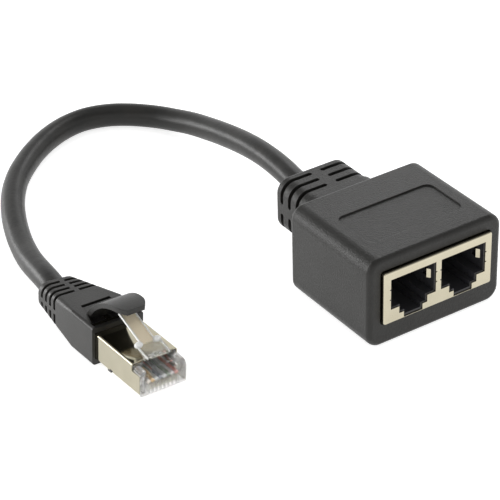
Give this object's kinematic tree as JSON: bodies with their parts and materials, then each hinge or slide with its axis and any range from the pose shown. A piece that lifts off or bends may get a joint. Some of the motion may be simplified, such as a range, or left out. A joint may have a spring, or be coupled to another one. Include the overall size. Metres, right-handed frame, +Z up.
{
  "type": "rj45 splitter adapter",
  "caption": "Network splitter adapter: moulded block with shielded jack openings side by side, slotted strain relief, short round lead and a shielded clear plug in a hooded boot.",
  "frame": {"origin": "middle of the head's footprint on the table, under the jack block", "axes": "x to the right seen from the jack openings, y from the openings towards the strain relief, z up; metres"},
  "size_m": [0.0904, 0.1281, 0.0228],
  "materials": {
    "black_pvc": "moulded soft PVC, satin",
    "cable_pvc": "extruded PVC jacket, satin",
    "boot_pvc": "moulded soft PVC, satin",
    "nickel": "nickel-plated sheet, bright",
    "port_black": "moulded insert, black",
    "carrier_grey": "moulded contact carrier",
    "gilt": "thin gold flash on phosphor bronze",
    "board_green": "solder mask on glass epoxy",
    "inner_poly": "natural polyethylene pre-mould",
    "clear_body": "clear polycarbonate",
    "guide_white": "natural nylon comb",
    "core_white_orange": "core insulation",
    "core_orange": "core insulation",
    "core_white_green": "core insulation",
    "core_blue": "core insulation",
    "core_white_blue": "core insulation",
    "core_green": "core insulation",
    "core_white_brown": "core insulation",
    "core_brown": "core insulation"
  },
  "bodies": {
    "root": {"head_overmould": "black_pvc", "jack_shield": "nickel", "jack_shield_back": "nickel", "jack_housing": "port_black", "contact_carrier_left": "carrier_grey", "contact_carrier_right": "carrier_grey", "jack_contact_l1": "gilt", "jack_contact_l2": "gilt", "jack_contact_l3": "gilt", "jack_contact_l4": "gilt", "jack_contact_l5": "gilt", "jack_contact_l6": "gilt", "jack_contact_l7": "gilt", "jack_contact_l8": "gilt", "jack_contact_r1": "gilt", "jack_contact_r2": "gilt", "jack_contact_r3": "gilt", "jack_contact_r4": "gilt", "jack_contact_r5": "gilt", "jack_contact_r6": "gilt", "jack_contact_r7": "gilt", "jack_contact_r8": "gilt", "circuit_board": "board_green", "inner_mould": "inner_poly", "head_core_1": "core_white_orange", "head_core_2": "core_orange", "head_core_3": "core_white_green", "head_core_4": "core_blue", "head_core_5": "core_white_blue", "head_core_6": "core_green", "head_core_7": "core_white_brown", "head_core_8": "core_brown", "cable": "cable_pvc", "plug_boot": "boot_pvc", "plug_shield": "nickel", "plug_body": "clear_body", "wire_guide": "guide_white", "plug_contact_1": "gilt", "plug_contact_2": "gilt", "plug_contact_3": "gilt", "plug_contact_4": "gilt", "plug_contact_5": "gilt", "plug_contact_6": "gilt", "plug_contact_7": "gilt", "plug_contact_8": "gilt", "plug_core_1": "core_white_orange", "plug_core_2": "core_orange", "plug_core_3": "core_white_green", "plug_core_4": "core_blue", "plug_core_5": "core_white_blue", "plug_core_6": "core_green", "plug_core_7": "core_white_brown", "plug_core_8": "core_brown"}
  },
  "joints": []
}
